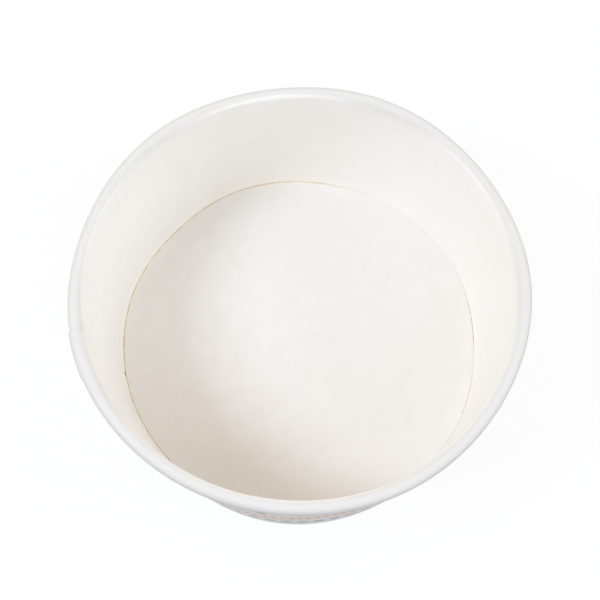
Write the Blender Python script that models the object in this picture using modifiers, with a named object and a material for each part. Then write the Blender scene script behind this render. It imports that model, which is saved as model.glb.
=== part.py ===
"""Paper ice cream cup: a side wall with a rolled rim, round a bottom disc.

A paper cup is two pieces of coated board. The side wall is one fan-shaped blank
that is wrapped round and lapped on itself, its top edge is rolled outwards into
the rim, and its bottom edge is folded inwards and up into a hem. The bottom is a
disc whose edge is bent down into a skirt, which is held between wall and hem.

Frame: Z is the cup's axis, with the table at z = 0 and the mouth up. The origin
is the centre of the ring that the cup stands on. Lengths are in metres.
"""

import math

import bmesh
import bpy
from mathutils import Vector

MM = 0.001

# Sizes of the whole cup
RIM_RADIUS = 45.0 * MM  # outside of the rolled rim
HEIGHT = 41.0 * MM  # table to the top of the rolled rim
FLOOR_HEIGHT = 8.0 * MM  # table to the top of the bottom disc
FLOOR_RADIUS = 38.9 * MM  # inside of the wall, level with the top of the disc
BASE_RADIUS = 39.1 * MM  # outside of the folded bottom edge

# Boards, and the clearance that stands for the sealed joint between them
WALL_BOARD = 0.34 * MM
BOTTOM_BOARD = 0.30 * MM
SEAL_CLEARANCE = 0.30 * MM

# Rolled rim: a spiral of a little more than one turn
ROLL_RADIUS = 1.35 * MM  # outside of the roll's section
ROLL_GAP = 0.25 * MM  # between the roll's inner turn and its outer one
ROLL_TIGHTENS_FROM = math.radians(-10)  # angles round the roll's centre, 0 is outwards
ROLL_TIGHTENS_TO = math.radians(-170)
ROLL_ENDS_AT = math.radians(-230)

# Folded bottom edge, and the bottom disc's bent edge
FOLD_RADIUS = 0.55 * MM  # outside of each bend at the table
MOST_FOLD_SHARE = 0.45  # of the seam's depth, so that a flat is left to stand on
HEM_DROP = 2.0 * MM  # top of the disc down to the hem's edge
SHOULDER_RADIUS = 0.55 * MM  # outside of the bend between disc and skirt

# Lapped side seam, where the wall's board lies double
SEAM_ANGLE = math.radians(188.4)  # the inner layer's edge, from +X round +Z
LAP_WIDTH = 9.0 * MM
LAP_RAMP = 3.0 * MM  # length in which a layer climbs over the other one's edge

# Facets
SEGMENTS = 64  # round the whole cup
RAMP_SEGMENTS = 2
BEND_STEPS = 3
ROLL_OUTER_STEPS = 10
ROLL_TIGHTENING_STEPS = 8
ROLL_INNER_STEPS = 3
SMOOTH_UP_TO = math.radians(35)
WELD_DISTANCE = 0.0001 * MM

# What the lap does to the board's two faces, as shares of the board's thickness towards
# the print side: wall's food face, wall's print face, roll's food face, roll's print face.
# On the wall the outer layer gives way, and in the roll each layer by half.
PLAIN_SHARES = (0, 0, 0, 0)
OUTER_LAYER_RAISED_SHARES = (1, 1, 0.5, 0.5)
LAPPED_SHARES = (0, 1, -0.5, 0.5)
ROLL_SKIN_RAISED_SHARES = (0, 0, -0.5, -0.5)


def direction(angle):
    """Unit vector at an angle in the section plane, where X is the radius and Y the height."""
    return Vector((math.cos(angle), math.sin(angle)))


def lean_between(low, high, distance):
    """Lean from upright of a straight board that passes one of two points at a distance."""
    step = high - low
    return math.atan2(step.x, step.y) - math.asin(distance / step.length)


def arc(centre, radius, start, end, steps):
    """Points along an arc from one angle to another."""
    angles = [start + (end - start) * k / steps for k in range(steps + 1)]
    return [centre + radius * direction(a) for a in angles]


def ease(share):
    """Smooth step from 0 to 1."""
    return share * share * (3 - 2 * share)


# Places that the wall and the bottom disc share, on the middle of the wall's board
half_wall = WALL_BOARD / 2
half_bottom = BOTTOM_BOARD / 2
seam_depth = 2 * WALL_BOARD + BOTTOM_BOARD + 2 * SEAL_CLEARANCE  # wall, skirt and hem
fold_radius = min(FOLD_RADIUS, MOST_FOLD_SHARE * seam_depth)
fold_middle_radius = fold_radius - half_wall
fold_centre = Vector((BASE_RADIUS - fold_radius, fold_radius))
floor_point = Vector((FLOOR_RADIUS + half_wall, FLOOR_HEIGHT))
band_lean = lean_between(fold_centre, floor_point, fold_middle_radius)
band_up = direction(math.pi / 2 - band_lean)
band_outward = direction(-band_lean)


def wall_path():
    """Middle of the wall's board, from the hem's edge to the edge inside the roll.

    Each entry is a point and two shares: how far the lap thickens the wall there,
    and how far it thickens the roll.
    """
    path = []

    # The hem comes down beside the skirt, then the board runs flat along the table
    hem_width = seam_depth - WALL_BOARD - 2 * fold_middle_radius
    hem_centre = fold_centre - Vector((hem_width / math.cos(band_lean), 0))
    hem_foot = hem_centre - fold_middle_radius * band_outward
    hem_length = (FLOOR_HEIGHT - HEM_DROP - hem_foot.y) / band_up.y
    path.append((hem_foot + hem_length * band_up, 0, 0))
    hem_bend = arc(hem_centre, fold_middle_radius, math.pi - band_lean, 1.5 * math.pi, BEND_STEPS)
    path += [(point, 0, 0) for point in hem_bend]

    # The lap fades out round the lower bend, so that the cup still stands level
    wall_bend = arc(fold_centre, fold_middle_radius, -math.pi / 2, -band_lean, BEND_STEPS)
    path += [(point, (k / BEND_STEPS) ** 2, 0) for k, point in enumerate(wall_bend)]
    path.append((floor_point, 1, 0))

    # Above the disc the wall leans out until it touches the roll
    roll_middle_radius = ROLL_RADIUS - half_wall
    roll_centre = Vector((RIM_RADIUS - ROLL_RADIUS, HEIGHT - ROLL_RADIUS))
    wall_lean = lean_between(floor_point, roll_centre, roll_middle_radius)
    wall_up = direction(math.pi / 2 - wall_lean)
    wall_top = roll_centre - roll_middle_radius * direction(-wall_lean)
    path.append((wall_top - (ROLL_RADIUS + LAP_RAMP) * wall_up, 1, 0))
    path.append((wall_top - ROLL_RADIUS * wall_up, 0, 1))

    # The roll keeps one radius over the top and outside, then tightens under itself
    roll_start = math.pi - wall_lean
    outside = arc(roll_centre, roll_middle_radius, roll_start, ROLL_TIGHTENS_FROM, ROLL_OUTER_STEPS)
    path += [(point, 0, 1) for point in outside]
    inner_radius = roll_middle_radius - WALL_BOARD - ROLL_GAP
    for k in range(1, ROLL_TIGHTENING_STEPS + 1):
        share = k / ROLL_TIGHTENING_STEPS
        angle = ROLL_TIGHTENS_FROM + (ROLL_TIGHTENS_TO - ROLL_TIGHTENS_FROM) * share
        radius = roll_middle_radius + (inner_radius - roll_middle_radius) * ease(share)
        path.append((roll_centre + radius * direction(angle), 0, 1 - ease(share)))
    inside = arc(roll_centre, inner_radius, ROLL_TIGHTENS_TO, ROLL_ENDS_AT, ROLL_INNER_STEPS)
    path += [(point, 0, 0) for point in inside[1:]]
    return path


def print_side(path, k):
    """Direction of the board's print side at a point, lengthened at a bend to keep the thickness."""
    here = path[k][0]
    before = (here - path[max(k - 1, 0)][0]).normalized()
    after = (path[min(k + 1, len(path) - 1)][0] - here).normalized()
    along = (before + after).normalized()
    straight = before if before.length > 0 else after
    return Vector((along.y, -along.x)) / along.dot(straight)


def stations():
    """Angles round the wall, each with what the lap does there.

    Two stations at one angle make a raw edge of the board.
    """
    ramp = LAP_RAMP / RIM_RADIUS
    lap = LAP_WIDTH / RIM_RADIUS
    plain = 2 * math.pi - lap - 2 * ramp
    segment = 2 * math.pi / SEGMENTS
    zones = [
        (ramp, RAMP_SEGMENTS, PLAIN_SHARES, OUTER_LAYER_RAISED_SHARES),
        (lap, max(2, round(lap / segment)), LAPPED_SHARES, LAPPED_SHARES),
        (ramp, RAMP_SEGMENTS, ROLL_SKIN_RAISED_SHARES, PLAIN_SHARES),
        (plain, round(plain / segment), PLAIN_SHARES, PLAIN_SHARES),
    ]
    rings = []
    start = SEAM_ANGLE - ramp
    for width, steps, first, last in zones:
        for k in range(steps + 1):
            share = k / steps
            shares = [a + (b - a) * share for a, b in zip(first, last)]
            rings.append((start + width * share, shares))
        start += width
    return rings


def wall_outline(path, shares):
    """Closed outline of the board's section: along its print face and back on its food face."""
    wall_food, wall_print, roll_food, roll_print = shares
    print_face = []
    food_face = []
    for k, (point, wall_share, roll_share) in enumerate(path):
        side = print_side(path, k)
        out = half_wall + WALL_BOARD * (wall_share * wall_print + roll_share * roll_print)
        back = WALL_BOARD * (wall_share * wall_food + roll_share * roll_food) - half_wall
        print_face.append(point + out * side)
        food_face.append(point + back * side)
    return print_face + food_face[::-1]


def make_side_wall():
    """Loft the wall's section round the axis, because the lap changes it from angle to angle."""
    path = wall_path()
    mesh = bmesh.new()
    rings = []
    for angle, shares in stations():
        cosine, sine = math.cos(angle), math.sin(angle)
        outline = wall_outline(path, shares)
        rings.append([mesh.verts.new((p.x * cosine, p.x * sine, p.y)) for p in outline])
    for ring, following in zip(rings, rings[1:] + rings[:1]):
        for k in range(len(ring)):
            mesh.faces.new((ring[k - 1], ring[k], following[k], following[k - 1]))
    bmesh.ops.remove_doubles(mesh, verts=mesh.verts, dist=WELD_DISTANCE)
    bmesh.ops.recalc_face_normals(mesh, faces=mesh.faces)
    return mesh_object("side_wall", mesh)


def make_bottom_disc():
    """Turn the disc's flat, shoulder and skirt, and thicken the surface to the board."""
    bend_radius = SHOULDER_RADIUS - half_bottom
    skirt_point = floor_point - (half_wall + SEAL_CLEARANCE + half_bottom) * band_outward
    bend_centre_height = FLOOR_HEIGHT - SHOULDER_RADIUS
    skirt_top_height = bend_centre_height + bend_radius * band_outward.y
    skirt_top = skirt_point + (skirt_top_height - skirt_point.y) / band_up.y * band_up
    bend_centre = skirt_top - bend_radius * band_outward
    skirt_end_height = WALL_BOARD + SEAL_CLEARANCE
    skirt_end = skirt_top + (skirt_end_height - skirt_top.y) / band_up.y * band_up
    profile = [Vector((0, FLOOR_HEIGHT - half_bottom))]
    profile += arc(bend_centre, bend_radius, math.pi / 2, -band_lean, BEND_STEPS)
    profile.append(skirt_end)

    mesh = bmesh.new()
    verts = [mesh.verts.new((p.x, 0, p.y)) for p in profile]
    for pair in zip(verts, verts[1:]):
        mesh.edges.new(pair)
    disc = mesh_object("bottom_disc", mesh)

    screw = disc.modifiers.new("Turn", "SCREW")
    screw.axis = "Z"
    screw.angle = 2 * math.pi
    screw.steps = SEGMENTS
    screw.render_steps = SEGMENTS
    screw.use_merge_vertices = True
    screw.merge_threshold = WELD_DISTANCE
    screw.use_smooth_shade = True

    board = disc.modifiers.new("Board", "SOLIDIFY")
    board.thickness = BOTTOM_BOARD
    board.offset = 0
    board.use_even_offset = True
    return disc


def mesh_object(name, mesh):
    """Turn a bmesh into an object with smooth faces and crisp edges."""
    data = bpy.data.meshes.new(name)
    mesh.to_mesh(data)
    mesh.free()
    if data.polygons:
        data.shade_smooth()
        data.set_sharp_from_angle(angle=SMOOTH_UP_TO)
    return bpy.data.objects.new(name, data)


def board_material(name, colour, roughness):
    """Coated paperboard: white, not metallic, with a soft gloss on its coated face."""
    material = bpy.data.materials.new(name)
    material.use_nodes = True
    surface = material.node_tree.nodes["Principled BSDF"]
    surface.inputs["Base Color"].default_value = colour
    surface.inputs["Roughness"].default_value = roughness
    surface.inputs["Metallic"].default_value = 0
    return material


def main():
    for leftover in list(bpy.data.objects):
        bpy.data.objects.remove(leftover, do_unlink=True)
    cup = bpy.data.collections.new("paper_ice_cream_cup")
    bpy.context.scene.collection.children.link(cup)

    side_wall = make_side_wall()
    side_wall.data.materials.append(board_material("wall_board", (0.86, 0.84, 0.81, 1), 0.45))
    bottom_disc = make_bottom_disc()
    bottom_disc.data.materials.append(board_material("bottom_board", (0.87, 0.85, 0.83, 1), 0.5))
    for piece in (side_wall, bottom_disc):
        cup.objects.link(piece)


main()
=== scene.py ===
# %% [markdown]
# # Paper ice cream cup
#
# A paper cup is made of two pieces of coated board. A fan-shaped blank is wrapped
# round and lapped on itself to make the side wall, and a disc with a bent edge
# makes the bottom. This notebook builds both pieces as the machine does: it draws
# the board's section once, wraps it round the axis with Geometry Nodes, and lets
# the last few millimetres lie over the first ones. Then come the finishes, a plain
# floor, soft light and a camera that looks down into the cup.

# %% Load the cup's frame
import math

import bpy
from mathutils import Matrix, Vector


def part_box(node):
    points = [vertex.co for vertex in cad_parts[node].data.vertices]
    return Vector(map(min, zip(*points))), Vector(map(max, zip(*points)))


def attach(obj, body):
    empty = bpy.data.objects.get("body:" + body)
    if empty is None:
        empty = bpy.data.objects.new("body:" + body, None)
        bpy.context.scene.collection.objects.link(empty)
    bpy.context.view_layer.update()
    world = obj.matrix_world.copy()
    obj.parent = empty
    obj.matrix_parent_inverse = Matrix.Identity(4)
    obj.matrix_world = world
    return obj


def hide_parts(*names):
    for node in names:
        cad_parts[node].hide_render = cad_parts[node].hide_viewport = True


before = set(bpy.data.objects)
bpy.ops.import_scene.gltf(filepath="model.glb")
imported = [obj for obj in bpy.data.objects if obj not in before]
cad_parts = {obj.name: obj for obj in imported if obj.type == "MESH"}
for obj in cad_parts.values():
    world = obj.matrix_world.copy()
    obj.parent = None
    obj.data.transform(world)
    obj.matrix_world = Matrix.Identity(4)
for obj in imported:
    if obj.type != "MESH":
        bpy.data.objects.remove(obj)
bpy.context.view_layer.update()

# %% [markdown]
# ## Sizes
#
# All lengths are in metres, and the frame's origin is the centre of the ring that
# the cup stands on. The sizes are those of the frame's solids, but for two things.
# The solids keep a clearance between the pieces, and the pieces made here meet,
# as sealed board does. The seam is four degrees further round than in the solids,
# where the photograph shows its notch in the rim, and the board beside it gives way
# over a shorter ramp.

# %% Sizes of the cup and its board
MM = 0.001
RIM_RADIUS = 45.0 * MM
HEIGHT = 41.0 * MM
FLOOR_HEIGHT = 8.0 * MM
FLOOR_RADIUS = 38.9 * MM
BASE_RADIUS = 39.1 * MM
WALL_BOARD = 0.34 * MM
BOTTOM_BOARD = 0.30 * MM
SEAM_DEPTH = 1.58 * MM  # wall, skirt and hem with the room between them
ROLL_RADIUS = 1.35 * MM
FOLD_RADIUS = 0.55 * MM
HEM_DROP = 2.0 * MM
SEAM_ANGLE = math.radians(192.4)
LAP_ANGLE = 9.0 * MM / RIM_RADIUS
RAMP_ANGLE = 1.6 * MM / RIM_RADIUS

wall_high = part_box("side_wall")[1]
disc_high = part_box("bottom_disc")[1]
print("rim radius", round(wall_high.x / MM, 2), "mm, height", round(wall_high.z / MM, 2), "mm")
print("top of the bottom disc", round(disc_high.z / MM, 2), "mm")

# %% [markdown]
# ## Helpers
#
# Node trees are long to write by hand. One small function adds a node, sets its
# properties and feeds its inputs, either with a constant or with another node's
# output. Colours are written as sRGB hex values, which is how people pick them,
# and one function turns them into the linear values that the renderer needs.


# %% A node with its settings and links
def add_node(tree, kind, settings=None, feeds=None):
    """Add a node, set its properties, and give each input a constant or a link."""
    node = tree.nodes.new(kind)
    for name, value in (settings or {}).items():
        setattr(node, name, value)
    for name, value in (feeds or {}).items():
        if isinstance(value, bpy.types.NodeSocket):
            tree.links.new(value, node.inputs[name])
        else:
            node.inputs[name].default_value = value
    return node


# %% A colour from its sRGB hex value
def colour(hex_value):
    """Linear RGBA of a colour written as six sRGB hex digits."""
    channels = [int(hex_value[k : k + 2], 16) / 255 for k in (0, 2, 4)]
    linear = [c / 12.92 if c <= 0.04045 else ((c + 0.055) / 1.055) ** 2.4 for c in channels]
    return (*linear, 1)


print("linear value of F4F1EC:", [round(c, 3) for c in colour("F4F1EC")])

# %% [markdown]
# ## The section of the wall
#
# Seen in section, the wall's board is one ribbon. It starts at the hem's edge
# inside the base, goes down and under, up the wall, and ends in a spiral roll at
# the rim. Straight stretches and arcs describe its middle line, and each point
# moves half a board to either side.
#
# Where the blank overlaps itself, the two layers have to give way by one board
# between them. On the wall and the hem the outer layer does, at the table the
# other one, over the roll each gives way by half, and inside it the outer layer
# again. So each point also says which share of the step belongs to that layer.


# %% Small tools for drawing a section
def direction(angle):
    """Unit vector in the section plane, where X is the radius and Y the height."""
    return Vector((math.cos(angle), math.sin(angle)))


def arc(centre, radius, start, end, steps):
    """Points along an arc from one angle to another."""
    angles = [start + (end - start) * k / steps for k in range(steps + 1)]
    return [centre + radius * direction(a) for a in angles]


def run(start, end, steps):
    """Points along a straight stretch, without its first one."""
    return [start.lerp(end, k / steps) for k in range(1, steps + 1)]


def lean_between(low, high, distance):
    """Lean from upright of a straight board that passes one of two points at a distance."""
    step = high - low
    return math.atan2(step.x, step.y) - math.asin(distance / step.length)


def ease(share):
    """Smooth step from 0 to 1."""
    return share * share * (3 - 2 * share)


# %% Places on the wall's middle line
half_wall = WALL_BOARD / 2
half_bottom = BOTTOM_BOARD / 2
fold_middle = FOLD_RADIUS - half_wall
fold_centre = Vector((BASE_RADIUS - FOLD_RADIUS, FOLD_RADIUS))
floor_point = Vector((FLOOR_RADIUS + half_wall, FLOOR_HEIGHT))
band_lean = lean_between(fold_centre, floor_point, fold_middle)
band_up = direction(math.pi / 2 - band_lean)
band_outward = direction(-band_lean)

roll_middle = ROLL_RADIUS - half_wall
roll_centre = Vector((RIM_RADIUS - ROLL_RADIUS, HEIGHT - ROLL_RADIUS))
wall_lean = lean_between(floor_point, roll_centre, roll_middle)
wall_up = direction(math.pi / 2 - wall_lean)
wall_top = roll_centre - roll_middle * direction(-wall_lean)
print("the wall leans", round(math.degrees(wall_lean), 1), "degrees, and")
print("the band below the floor leans", round(math.degrees(band_lean), 1), "degrees")

# %% The hem, pressed against the skirt that it holds
BEND_STEPS = 8
HEM_STEPS = 4
HEM_PRESSED_IN = 0.5 * MM  # how far the hem's edge is pressed outwards

hem_width = SEAM_DEPTH - WALL_BOARD - 2 * fold_middle
hem_centre = fold_centre - Vector((hem_width / math.cos(band_lean), 0))
hem_foot = hem_centre - fold_middle * band_outward
hem_length = (FLOOR_HEIGHT - HEM_DROP - hem_foot.y) / band_up.y
hem_edge = hem_foot + hem_length * band_up + HEM_PRESSED_IN * band_outward


def hem_path():
    """Down the hem and round its bend, as points with the outer layer's share of the lap."""
    path = [(hem_edge, 1)] + [(p, 1) for p in run(hem_edge, hem_foot, HEM_STEPS)[:-1]]
    bend = arc(hem_centre, fold_middle, math.pi - band_lean, 1.5 * math.pi, BEND_STEPS)
    return path + [(p, (1 - k / BEND_STEPS) ** 2) for k, p in enumerate(bend)]


print("the hem stands", round(hem_edge.y / MM, 2), "mm high")

# %% The wall, from the table to the roll
WALL_STEPS = 10
BAND_STEPS = 5
LAP_FADE = 3.0 * MM  # height in which the step moves from one layer to the other
NEAR_JOINT = 0.4 * MM


def wall_path():
    """Round the lower bend and up the wall to where it meets the roll."""
    bend = arc(fold_centre, fold_middle, -math.pi / 2, -band_lean, BEND_STEPS)
    path = [(p, (k / BEND_STEPS) ** 2) for k, p in enumerate(bend)]
    below_joint = floor_point - NEAR_JOINT * band_up
    above_joint = floor_point + NEAR_JOINT * wall_up
    fade_start = wall_top - (ROLL_RADIUS + LAP_FADE) * wall_up
    fade_end = wall_top - ROLL_RADIUS * wall_up
    path += [(p, 1) for p in run(bend[-1], below_joint, BAND_STEPS)]
    path += [(floor_point, 1), (above_joint, 1)]
    path += [(p, 1) for p in run(above_joint, fade_start, WALL_STEPS)]
    fade = run(fade_start, fade_end, BAND_STEPS)
    path += [(p, 1 - (k + 1) / BAND_STEPS / 2) for k, p in enumerate(fade)]
    return path


print("height of the wall above the floor:", round((wall_top - floor_point).y / MM, 2), "mm")

# %% The rolled rim
ROLL_OUTER_STEPS = 28
ROLL_TIGHTENING_STEPS = 20
ROLL_INNER_STEPS = 6
ROLL_GAP = 0.25 * MM
ROLL_TIGHTENS_FROM = math.radians(-10)  # angles round the roll's centre, 0 is outwards
ROLL_TIGHTENS_TO = math.radians(-170)
ROLL_ENDS_AT = math.radians(-230)


def roll_path():
    """Over the top and down outside at one radius, then on under itself in a spiral."""
    outside = arc(roll_centre, roll_middle, math.pi - wall_lean, ROLL_TIGHTENS_FROM, ROLL_OUTER_STEPS)
    path = [(p, 0.5) for p in outside]
    inner = roll_middle - WALL_BOARD - ROLL_GAP
    for k in range(1, ROLL_TIGHTENING_STEPS + 1):
        share = k / ROLL_TIGHTENING_STEPS
        angle = ROLL_TIGHTENS_FROM + (ROLL_TIGHTENS_TO - ROLL_TIGHTENS_FROM) * share
        radius = roll_middle + (inner - roll_middle) * ease(share)
        path.append((roll_centre + radius * direction(angle), (1 + ease(share)) / 2))
    inside = arc(roll_centre, inner, ROLL_TIGHTENS_TO, ROLL_ENDS_AT, ROLL_INNER_STEPS)
    return path + [(p, 1) for p in inside[1:]]


board_path = hem_path() + wall_path() + roll_path()
print("points on the board's middle line:", len(board_path))

# %% [markdown]
# ## From a section to a loop of edges
#
# The ribbon is kept as a closed loop of edges. Its points carry what the next
# steps need: the direction of the print side, the outer layer's share, which
# face of the board they lie on, and how far they are from the joint between wall
# and bottom disc. Geometry Nodes carries such named attributes along for free.


# %% Both faces of a board from its middle line
def print_side(points, k):
    """Direction of the print side, lengthened at a bend so that the board keeps its thickness."""
    before = (points[k] - points[max(k - 1, 0)]).normalized()
    after = (points[min(k + 1, len(points) - 1)] - points[k]).normalized()
    along = (before + after).normalized()
    straight = before if before.length > 0 else after
    return Vector((along.y, -along.x)) / along.dot(straight)


joint = Vector((FLOOR_RADIUS, FLOOR_HEIGHT))


def add_point_values(mesh, name, values):
    """A named attribute with one number or one vector for each point."""
    if isinstance(values[0], tuple):
        layer = mesh.attributes.new(name, "FLOAT_VECTOR", "POINT")
        layer.data.foreach_set("vector", [c for vector in values for c in vector])
    else:
        layer = mesh.attributes.new(name, "FLOAT", "POINT")
        layer.data.foreach_set("value", [float(v) for v in values])


def board_section(name, path, thickness):
    """A board's outline as a loop of edges in the XY plane, with -Y as the height."""
    middle = [p for p, share in path]
    sides = [print_side(middle, k) for k in range(len(path))]
    points = []
    for k, (p, share) in enumerate(path):
        points.append((p - thickness / 2 * sides[k], sides[k], share, 0))
    for k, (p, share) in reversed(list(enumerate(path))):
        points.append((p + thickness / 2 * sides[k], sides[k], share, 1))
    mesh = bpy.data.meshes.new(name)
    edges = [(k, (k + 1) % len(points)) for k in range(len(points))]
    mesh.from_pydata([(p.x, -p.y, 0) for p, side, share, face in points], edges, [])
    add_point_values(mesh, "print_side", [(side.x, 0, side.y) for p, side, share, face in points])
    add_point_values(mesh, "outer_share", [share for p, side, share, face in points])
    add_point_values(mesh, "print_face", [face for p, side, share, face in points])
    distances = [(p - joint).length / MM for p, side, share, face in points]
    add_point_values(mesh, "from_joint_mm", distances)
    section = bpy.data.objects.new(name, mesh)
    bpy.context.scene.collection.objects.link(section)
    return section


side_wall = board_section("side_wall_board", board_path, WALL_BOARD)
print("points in the wall's section:", len(side_wall.data.vertices))

# %% [markdown]
# ## The section of the bottom disc
#
# The disc's edge is bent down over a die into a skirt, which is sealed between
# the wall and the hem. The bend is tight, and molten film gathers in the crease
# beside the wall, so that it all but disappears. The floor is not quite flat: such
# discs dish by a tenth or two of a millimetre.

# %% The bottom disc's section
SHOULDER_RADIUS = 0.30 * MM
BEAD_SQUARENESS = 12  # 2 leaves the shoulder round
BEAD_FROM_SHARE = 0.8  # of the shoulder's radius, so that only the disc's top is filled
FLOOR_STEPS = 16
SKIRT_STEPS = 4
SKIRT_END_HEIGHT = 2 * WALL_BOARD  # the skirt stops short of the hem's bend
FLOOR_DISH = 0.15 * MM


def disc_path():
    """From the centre over the floor, round the shoulder and down the skirt."""
    bend = SHOULDER_RADIUS - half_bottom
    skirt_middle = floor_point - (half_wall + half_bottom) * band_outward
    bend_height = FLOOR_HEIGHT - SHOULDER_RADIUS
    top_height = bend_height + bend * band_outward.y
    skirt_top = skirt_middle + (top_height - skirt_middle.y) / band_up.y * band_up
    skirt_end = skirt_top + (SKIRT_END_HEIGHT - skirt_top.y) / band_up.y * band_up
    centre = skirt_top - bend * band_outward
    shoulder = arc(centre, bend, math.pi / 2, -band_lean, BEND_STEPS)
    floor = []
    for k in range(FLOOR_STEPS):
        share = math.sin(k / FLOOR_STEPS * math.pi / 2)
        dish = FLOOR_DISH * (1 - share * share) ** 2
        floor.append(Vector((shoulder[0].x * share, shoulder[0].y - dish)))
    return [(p, 0) for p in floor + shoulder + run(shoulder[-1], skirt_end, SKIRT_STEPS)]


def fill_crease(mesh):
    """Square the shoulder up to where the film fills the crease."""
    centre = Vector((FLOOR_RADIUS - SHOULDER_RADIUS, FLOOR_HEIGHT - SHOULDER_RADIUS))
    for vertex in mesh.vertices:
        out, up = vertex.co.x - centre.x, -vertex.co.y - centre.y
        reach = math.hypot(out, up)
        if out > 0 and up > 0 and reach > BEAD_FROM_SHARE * SHOULDER_RADIUS:
            powers = (out / reach) ** BEAD_SQUARENESS + (up / reach) ** BEAD_SQUARENESS
            squarer = powers ** (-1 / BEAD_SQUARENESS)
            vertex.co.x = centre.x + out * squarer
            vertex.co.y = -(centre.y + up * squarer)


bottom_disc = board_section("bottom_disc_board", disc_path(), BOTTOM_BOARD)
fill_crease(bottom_disc.data)
print("points in the disc's section:", len(bottom_disc.data.vertices))

# %% [markdown]
# ## Out of round
#
# Board is springy, so no paper cup is truly round. The rim, the floor's edge and
# the base each get a few slow waves round the axis, a tenth or two of a millimetre
# high, and the rim is pressed in a little at the front. All this is a node group of
# its own, because wall and disc must wave together.

# %% Node group: how far the cup is out of round
RIM_WAVES = [(2, 0.10 * MM, 15), (5, 0.17 * MM, -10), (6, 0.10 * MM, 8)]
FLOOR_WAVES = [(2, 0.15 * MM, 97), (5, 0.20 * MM, 31), (8, 0.10 * MM, -21)]
BASE_WAVES = [(5, 0.17 * MM, 49)]
DENT_DEPTH = 0.32 * MM  # of the rim at the front, where a finger pressed it
DENT_ANGLE = math.radians(265)
DENT_SHARPNESS = 12


def add_waves(tree, angle, waves):
    """Sum of waves round the axis, each a count, a height and the degrees of one crest."""
    total = None
    for count, height, crest in waves:
        turned = add_node(
            tree, "ShaderNodeMath", {"operation": "SUBTRACT"}, {0: angle, 1: math.radians(crest)}
        )
        phase = add_node(
            tree, "ShaderNodeMath", {"operation": "MULTIPLY"}, {0: turned.outputs[0], 1: count}
        )
        wave = add_node(tree, "ShaderNodeMath", {"operation": "COSINE"}, {0: phase.outputs[0]})
        feeds = {0: wave.outputs[0], 1: height, 2: total or 0.0}
        total = add_node(tree, "ShaderNodeMath", {"operation": "MULTIPLY_ADD"}, feeds).outputs[0]
    return total


out_of_round = bpy.data.node_groups.new("out_of_round", "GeometryNodeTree")
for label in ("Angle", "Height"):
    out_of_round.interface.new_socket(label, in_out="INPUT", socket_type="NodeSocketFloat")
out_of_round.interface.new_socket("Offset", in_out="OUTPUT", socket_type="NodeSocketFloat")
given = add_node(out_of_round, "NodeGroupInput")
rim_waves = add_waves(out_of_round, given.outputs["Angle"], RIM_WAVES)
floor_waves = add_waves(out_of_round, given.outputs["Angle"], FLOOR_WAVES)
base_waves = add_waves(out_of_round, given.outputs["Angle"], BASE_WAVES)
from_dent = add_node(
    out_of_round,
    "ShaderNodeMath",
    {"operation": "SUBTRACT"},
    {0: given.outputs["Angle"], 1: DENT_ANGLE},
)
facing_dent = add_node(
    out_of_round, "ShaderNodeMath", {"operation": "COSINE"}, {0: from_dent.outputs[0]}
)
near_dent = add_node(
    out_of_round, "ShaderNodeMath", {"operation": "MAXIMUM"}, {0: facing_dent.outputs[0], 1: 0.0}
)
dent = add_node(
    out_of_round, "ShaderNodeMath", {"operation": "POWER"}, {0: near_dent.outputs[0], 1: DENT_SHARPNESS}
)
rim_offset = add_node(
    out_of_round,
    "ShaderNodeMath",
    {"operation": "MULTIPLY_ADD"},
    {0: dent.outputs[0], 1: -DENT_DEPTH, 2: rim_waves},
).outputs[0]
to_the_floor = add_node(
    out_of_round,
    "ShaderNodeMapRange",
    {"interpolation_type": "SMOOTHSTEP"},
    {"Value": given.outputs["Height"], "From Min": 0.0, "From Max": FLOOR_HEIGHT},
)
floor_offset = add_node(
    out_of_round,
    "ShaderNodeMix",
    {"data_type": "FLOAT"},
    {0: to_the_floor.outputs["Result"], 2: base_waves, 3: floor_waves},
).outputs[0]
up_the_wall = add_node(
    out_of_round,
    "ShaderNodeMapRange",
    {"interpolation_type": "SMOOTHSTEP"},
    {"Value": given.outputs["Height"], "From Min": FLOOR_HEIGHT, "From Max": HEIGHT},
)
offset = add_node(
    out_of_round,
    "ShaderNodeMix",
    {"data_type": "FLOAT"},
    {0: up_the_wall.outputs["Result"], 2: floor_offset, 3: rim_offset},
)
add_node(out_of_round, "NodeGroupOutput", {}, {"Offset": offset.outputs[0]})
print("nodes in the group out_of_round:", len(out_of_round.nodes))

# %% [markdown]
# ## Wrapping a board round the axis
#
# The tree sweeps the section along a straight line whose length is an angle: one
# metre stands for one radian. That is the flat blank. One Set Position node lets
# the lap's two layers give way to each other and bends the blank: the distance along
# the line becomes the angle round the axis. A last merge closes the disc, whose two
# ends meet, and the pole at its centre.

# %% Node group: the flat blank with its lap
wrap = bpy.data.node_groups.new("wrap_board", "GeometryNodeTree")
wrap.interface.new_socket("Section", in_out="INPUT", socket_type="NodeSocketGeometry")
wrap_sizes = {
    "Stations": "NodeSocketInt",
    "Lap Angle": "NodeSocketFloat",
    "Ramp Angle": "NodeSocketFloat",
    "Seam Angle": "NodeSocketFloat",
    "Board": "NodeSocketFloat",
    "Raw Ends": "NodeSocketBool",
    "Ribs": "NodeSocketInt",
    "Rib": "NodeSocketObject",
    "Food Side": "NodeSocketMaterial",
    "Print Side": "NodeSocketMaterial",
    "Cut Edge": "NodeSocketMaterial",
}
for label, kind in wrap_sizes.items():
    wrap.interface.new_socket(label, in_out="INPUT", socket_type=kind)
wrap.interface.new_socket("Board Piece", in_out="OUTPUT", socket_type="NodeSocketGeometry")

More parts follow.
